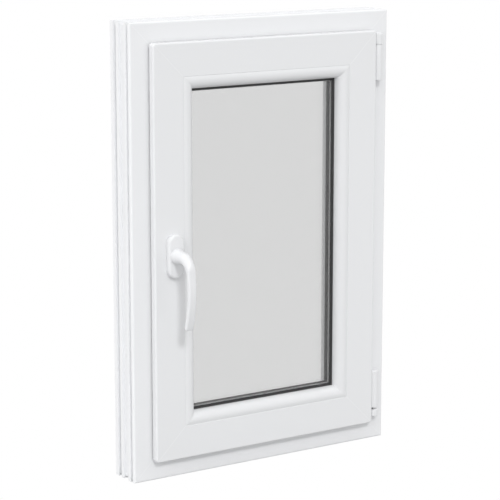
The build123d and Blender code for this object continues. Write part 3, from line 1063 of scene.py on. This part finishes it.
    def run_bend(self, piece: bpy.types.Object) -> None:
        """Runs on round the bend, where the oval swells and turns round.

        Args:
            piece: The lever, in edit mode with its last ring selected.
        """
        centre = self.point(self.neck_ends, self.bend_radius)
        for number in range(1, self.bend_steps + 1):
            share = 1.0 - number / self.bend_steps
            wide, thick = self.bend_size(share)
            self.step(centre, self.bend_turn / self.bend_steps)
            self.ring(piece, wide, thick, self.bend_turn * share)
            bpy.ops.transform.tosphere(value=min(1.0, number / self.steps_to_round))
            self.ring(piece, wide, thick, self.bend_turn * share)

    def run_neck(self, piece: bpy.types.Object) -> None:
        """Runs the neck straight back to the plate, and keeps its end's edge sharp.

        Args:
            piece: The lever, in edit mode with its last ring selected.
        """
        gone = 0.0
        for back, wide in self.neck:
            Bench.draw(OUTSIDE * (back - gone))
            self.ring(piece, wide, wide, 0.0)
            gone = back
        bpy.ops.transform.edge_crease(value=1.0)
        Bench.outwards()

    def build(self, coat: bpy.types.Material) -> None:
        """Models the lever from the tip to the plate.

        Args:
            coat: Its finish.
        """
        _, _, turn = self.grip_arc()
        piece = self.start(self.bend_turn + turn)
        self.run_grip(piece)
        self.run_bend(piece)
        self.run_neck(piece)
        Bench.smooth(piece, 2)
        Bench.done(piece, coat, "handle", "white_gear")
        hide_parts("handle_lever")


@dataclass
class Rosette:
    """The handle's plate on the sash, with a low round collar under the lever's neck."""

    axis: Vector
    wide: float = 30.0 * MM
    tall: float = 72.0 * MM
    thick: float = 10.0 * MM
    sides: int = 66
    edge_round: float = 4.4 * MM
    foot_round: float = 0.4 * MM
    collar_radius: float = 13.0 * MM
    collar_thick: float = 1.2 * MM
    collar_sunk: float = 0.6 * MM
    collar_round: float = 0.45 * MM
    collar_sides: int = 64

    def disc(self, name: str, radius: float, sides: int, back: float, front: float) -> bpy.types.Object:
        """Starts a piece as a disc on the sash's face, round about the handle's axis.

        Args:
            name: The piece's name.
            radius: Its radius.
            sides: The number of flats round it.
            back: The height of its back above the sash's face.
            front: The height of its front.

        Returns:
            The disc.
        """
        Bench.clear()
        bpy.ops.mesh.primitive_cylinder_add(
            vertices=sides, radius=radius, depth=front - back, rotation=(math.pi / 2, 0.0, 0.0),
            location=self.axis - OUTSIDE * (front + back) / 2)
        return Bench.start(name)

    def plate(self, coat: bpy.types.Material) -> None:
        """The plate: a round disc drawn out at its two halves, with a full round edge.

        Args:
            coat: Its finish.
        """
        piece = self.disc("handle_plate", self.wide / 2, self.sides, 0.0, self.thick)
        stretch = (self.tall - self.wide) / 2
        for way in (UP, -UP):
            Bench.pick(piece, Element.POINT, lambda point: (point.co - self.axis).dot(way) > 0.0)
            bpy.ops.transform.translate(value=way * stretch)
        Bench.round_rim(piece, -OUTSIDE, self.edge_round, 10)
        Bench.round_rim(piece, OUTSIDE, self.foot_round, 2)
        Bench.done(piece, coat, "window", "white_gear")
        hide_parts("handle_rosette")

    def collar(self, coat: bpy.types.Material) -> None:
        """The collar, sunk a little into the plate.

        Args:
            coat: Its finish.
        """
        piece = self.disc("handle_collar", self.collar_radius, self.collar_sides,
                          self.thick - self.collar_sunk, self.thick + self.collar_thick)
        Bench.round_rim(piece, -OUTSIDE, self.collar_round, 3)
        Bench.done(piece, coat, "window", "white_gear")


@dataclass
class Handle:
    """The handle: plate, lever and spindle."""

    size: WindowSize
    steel: Colour = (0.6, 0.6, 0.61, 1.0)

    def build(self, coat: bpy.types.Material) -> None:
        """Models the plate and the lever, and dresses the spindle.

        Args:
            coat: The white coat.
        """
        low, high = corners("handle_spindle")
        axis = Vector(((low.x + high.x) / 2, self.size.sash_face, (low.z + high.z) / 2))
        rosette = Rosette(axis)
        rosette.plate(coat)
        rosette.collar(coat)
        Lever(axis).build(coat)
        dress("handle_spindle", DrawnMetal("spindle_steel", self.steel).make())


@dataclass
class DrainCovers:
    """The two hooded covers over the drain slots on the outside, open at the foot."""

    size: WindowSize
    nodes: tuple[str, str] = ("drain_cap_left", "drain_cap_right")
    wall: float = 1.4 * MM
    roof: float = 2.6 * MM
    edge_round: float = 0.6 * MM
    hollow: float = 9.0 * MM

    def build(self) -> None:
        """Models one cover, copies it to the other slot and dresses both."""
        finish = WhiteProfile("white_cover", Run.ACROSS, self.size).make()
        left, right = self.nodes
        cover = self.cover(left)
        twin = Bench.copy(cover, right + "_cover", corners(right)[0] - corners(left)[0])
        for piece, node in ((cover, left), (twin, right)):
            Bench.done(piece, finish, "window", "white_upvc")
            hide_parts(node)

    def cover(self, node: str) -> bpy.types.Object:
        """One cover: its roof slopes, so that the rain runs off, and its foot is open.

        Args:
            node: The node that it stands for.

        Returns:
            The cover.
        """
        low, high = corners(node)
        middle = (low + high) / 2
        piece = Bench.block(node + "_cover", low, high)
        Bench.pick(piece, Element.EDGE, lambda edge: all(
            point.co.y > middle.y and point.co.z > middle.z for point in edge.verts))
        bpy.ops.mesh.bevel(offset=self.roof, segments=1, affect="EDGES")
        Bench.bevel(piece, self.edge_round, 4)
        Bench.pick_facing(piece, -UP)
        bpy.ops.mesh.inset(thickness=self.wall - self.edge_round, depth=0.0)
        Bench.draw(UP * self.hollow)
        return piece


@dataclass(frozen=True)
class FarLamp:
    """A far, soft lamp. Its azimuth turns from the room side to the right, and all its angles are in degrees."""

    name: str
    strength: float
    azimuth: float
    elevation: float
    soft: float
    distance: float = 3.0

    def make(self, target: Vector) -> None:
        """Hangs the lamp so that it shines on the target.

        Args:
            target: The point that it is aimed at.
        """
        data = bpy.data.lights.new(self.name, "SUN")
        data.energy = self.strength
        data.angle = math.radians(self.soft)
        lamp = bpy.data.objects.new(self.name, data)
        bpy.context.scene.collection.objects.link(lamp)
        azimuth, elevation = math.radians(self.azimuth), math.radians(self.elevation)
        way = Vector((math.sin(azimuth) * math.cos(elevation),
                      -math.cos(azimuth) * math.cos(elevation), math.sin(elevation)))
        lamp.location = target + way * self.distance
        lamp.rotation_euler = way.to_track_quat("Z", "Y").to_euler()


@dataclass(frozen=True)
class Sky:
    """The even light of a tented studio: brightest at its two sides and above."""

    level: float = 0.465
    sides: float = 0.98
    left: float = 0.36
    above: float = 0.32
    room: float = 0.04
    white: Colour = (1.0, 1.0, 1.0, 1.0)

    def make(self) -> bpy.types.World:
        """Builds the world, which is plain white wherever it is looked at.

        Returns:
            The world.
        """
        world = bpy.data.worlds.new("studio")
        world.use_nodes = True
        recipe = Recipe(world)
        x, y, z = recipe.split(recipe.node("ShaderNodeTexCoord").outputs["Generated"])
        light = x * x * self.sides - x * self.left - y * self.room + z * self.above + self.level
        seen = recipe.seen()
        strength = light * (1.0 - seen) + seen
        sky = recipe.node("ShaderNodeBackground", inputs={"Color": self.white, "Strength": strength})
        recipe.node("ShaderNodeOutputWorld", inputs={"Surface": sky.outputs[0]})
        return world


@dataclass(frozen=True)
class Studio:
    """A white studio: floor, world, lamp and the camera at the photograph's viewing angle."""

    size: WindowSize
    floor_colour: Colour = (0.5, 0.5, 0.5, 1.0)
    floor_wide: float = 30.0
    floor_below: float = 0.4 * MM
    sky: Sky = Sky()
    key: FarLamp = FarLamp("key", strength=0.96, azimuth=-16.0, elevation=38.0, soft=10.0)
    camera_place: tuple[float, float, float] = (-1.7336, -2.6907, 1.0066)
    camera_yaw: float = 32.787
    camera_pitch: float = 11.504
    camera_sees: float = 100.0
    lens: float = 139.98
    sensor: float = 36.0

    def floor(self) -> None:
        """A pale floor, which is plain white wherever it is looked at and throws light back otherwise."""
        Bench.clear()
        bpy.ops.mesh.primitive_plane_add(size=self.floor_wide, location=-UP * self.floor_below)
        plane = bpy.context.object
        plane.name = "studio_floor"
        recipe = Recipe.new("studio_floor")
        board = recipe.node("ShaderNodeBsdfDiffuse", inputs={"Color": self.floor_colour})
        white = recipe.node("ShaderNodeEmission", inputs={"Color": self.sky.white, "Strength": 1.0})
        both = recipe.node("ShaderNodeMixShader", inputs={
            0: recipe.seen(), 1: board.outputs[0], 2: white.outputs[0]})
        recipe.node("ShaderNodeOutputMaterial", inputs={"Surface": both.outputs[0]})
        plane.data.materials.append(recipe.owner)

    def camera(self) -> None:
        """The camera, from the front left and above."""
        data = bpy.data.cameras.new("camera")
        data.lens = self.lens
        data.sensor_width = self.sensor
        data.clip_end = self.camera_sees
        camera = bpy.data.objects.new("camera", data)
        bpy.context.scene.collection.objects.link(camera)
        camera.location = self.camera_place
        camera.rotation_euler = (math.radians(90.0 - self.camera_pitch), 0.0, -math.radians(self.camera_yaw))
        bpy.context.scene.camera = camera

    def build(self) -> None:
        """Sets up the whole studio."""
        self.floor()
        bpy.context.scene.world = self.sky.make()
        self.camera()
        self.key.make(UP * self.size.height / 2)
        bpy.context.scene.view_settings.view_transform = "Standard"


def main() -> None:
    """Builds and dresses the window, then the studio."""
    size = WindowSize.read()
    coat = WhiteCoat("white_coat").make()
    Profiles(size).build()
    GlazingUnit().build()
    Gaskets().build()
    Hinges().build(coat)
    Handle(size).build(coat)
    DrainCovers(size).build()
    Studio(size).build()


if __name__ == "__main__":
    main()
